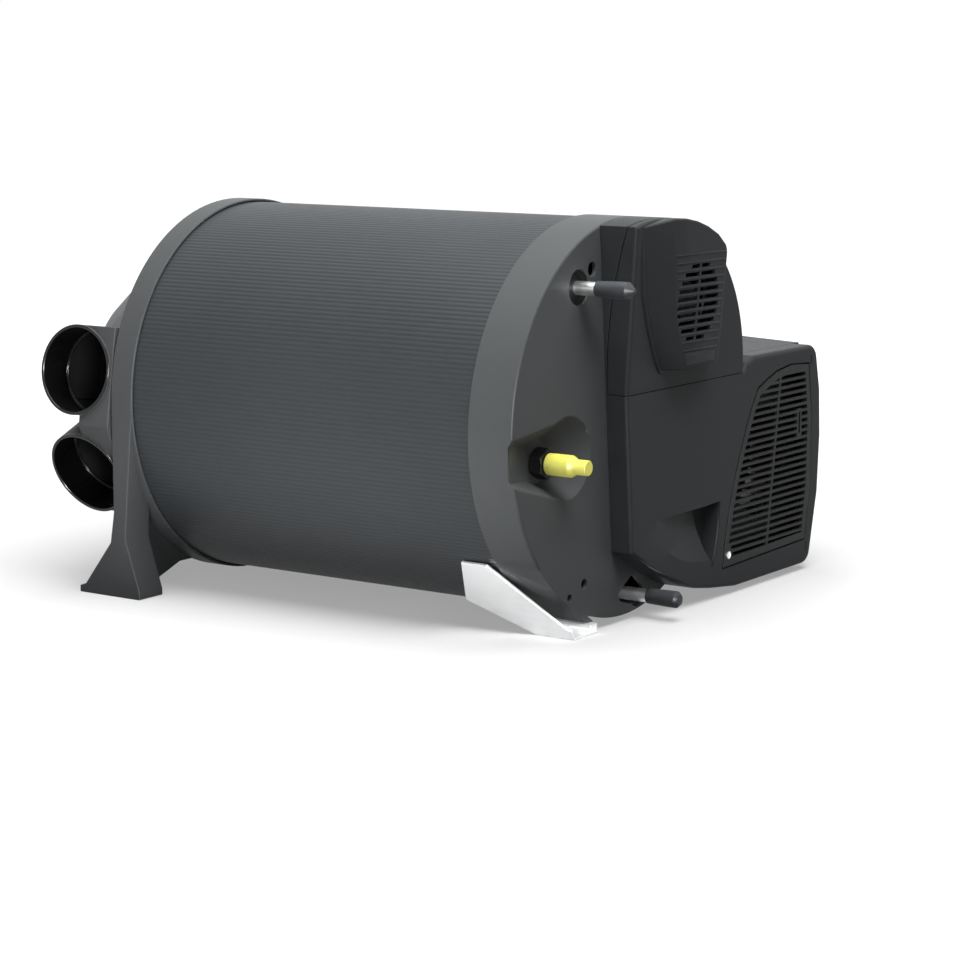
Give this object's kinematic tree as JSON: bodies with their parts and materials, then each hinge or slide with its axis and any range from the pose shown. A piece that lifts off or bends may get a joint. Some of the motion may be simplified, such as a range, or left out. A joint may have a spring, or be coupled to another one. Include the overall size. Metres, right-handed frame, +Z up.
{
  "type": "caravan water heater",
  "caption": "Horizontal caravan boiler in a ribbed jacket with warm-air outlets, gas and water stubs, vented control hood and side blower with slotted intake.",
  "frame": {"origin": "on the floor, under the middle of the heater's box", "axes": "+X along the boiler from the air outlets to the covers, +Y to the blower side, +Z up"},
  "size_m": [0.5146, 0.4516, 0.3],
  "materials": {
    "housing_grey": "fine satin grain, anthracite",
    "jacket_grey": "ribbed, satin anthracite",
    "cover_grey": "fine satin grain, dark anthracite",
    "outlet_black": "polished black",
    "port_black": "matt black",
    "seal": "matt black",
    "fastener": "bright zinc",
    "foam": "closed-cell foam",
    "stainless": "drawn stainless",
    "cast_aluminium": "as cast",
    "bracket_aluminium": "satin mill finish",
    "brass": "turned",
    "valve_body": "zinc yellow passivated",
    "ceramic": "glazed white",
    "cap_grey": "soft grey",
    "cap_yellow": "soft yellow",
    "motor": "moulded black",
    "wheel_plastic": "moulded black",
    "shaft_steel": "ground steel",
    "board": "green solder mask"
  },
  "bodies": {
    "heater": {"rear_frame": "housing_grey", "rear_seal": "seal", "air_distributor": "housing_grey", "outlet_front_upper": "outlet_black", "outlet_front_lower": "outlet_black", "outlet_back_upper": "outlet_black", "outlet_back_lower": "outlet_black", "frame_screws": "fastener", "jacket": "jacket_grey", "foam_upper": "foam", "foam_lower": "foam", "water_tank": "stainless", "heat_exchanger": "cast_aluminium", "burner_tube": "stainless", "burner_jet": "brass", "ignition_electrode": "ceramic", "exhaust_collector": "stainless", "exhaust_stub": "stainless", "air_intake_collar": "port_black", "tank_sensor": "brass", "front_cap": "housing_grey", "cap_seal": "seal", "support_bracket": "bracket_aluminium", "hot_water_pipe": "stainless", "hot_water_grommet": "seal", "cold_water_pipe": "stainless", "cold_water_elbow": "port_black", "gas_pipe": "brass", "gas_nut": "port_black", "hood_base": "cover_grey", "control_hood": "cover_grey", "vent_cover": "cover_grey", "blower_cover": "cover_grey", "intake_grille": "cover_grey", "grille_screw": "fastener", "blower_housing": "cover_grey", "blower_foot": "seal", "motor_plate": "cast_aluminium", "blower_motor": "motor", "motor_screws": "fastener", "inlet_ring": "motor", "combustion_housing": "port_black", "combustion_motor": "motor", "control_board": "board", "board_standoffs": "brass", "board_parts": "motor", "gas_valve": "valve_body"},
    "hot_cap": {"hot_water_cap": "cap_grey"},
    "cold_cap": {"cold_water_cap": "cap_grey"},
    "gas_stub_cap": {"gas_cap": "cap_yellow"},
    "blower_rotor": {"blower_wheel": "wheel_plastic", "blower_shaft": "shaft_steel"},
    "combustion_rotor": {"combustion_wheel": "cast_aluminium"}
  },
  "joints": [
    {"name": "blower_spin", "type": "hinge", "parent": "heater", "child": "blower_rotor", "pos_m": [0.1737, 0.12977, 0.095], "axis": [1, 0, 0], "continuous": true},
    {"name": "combustion_spin", "type": "hinge", "parent": "heater", "child": "combustion_rotor", "pos_m": [0.2177, -0.03923, 0.237], "axis": [1, 0, 0], "continuous": true},
    {"name": "hot_cap_pull", "type": "slide", "parent": "heater", "child": "hot_cap", "axis": [1, 0, 0], "range_m": [0, 0.04]},
    {"name": "cold_cap_pull", "type": "slide", "parent": "heater", "child": "cold_cap", "axis": [1, 0, 0], "range_m": [0, 0.04]},
    {"name": "gas_cap_pull", "type": "slide", "parent": "heater", "child": "gas_stub_cap", "axis": [1, 0, 0], "range_m": [0, 0.04]}
  ]
}
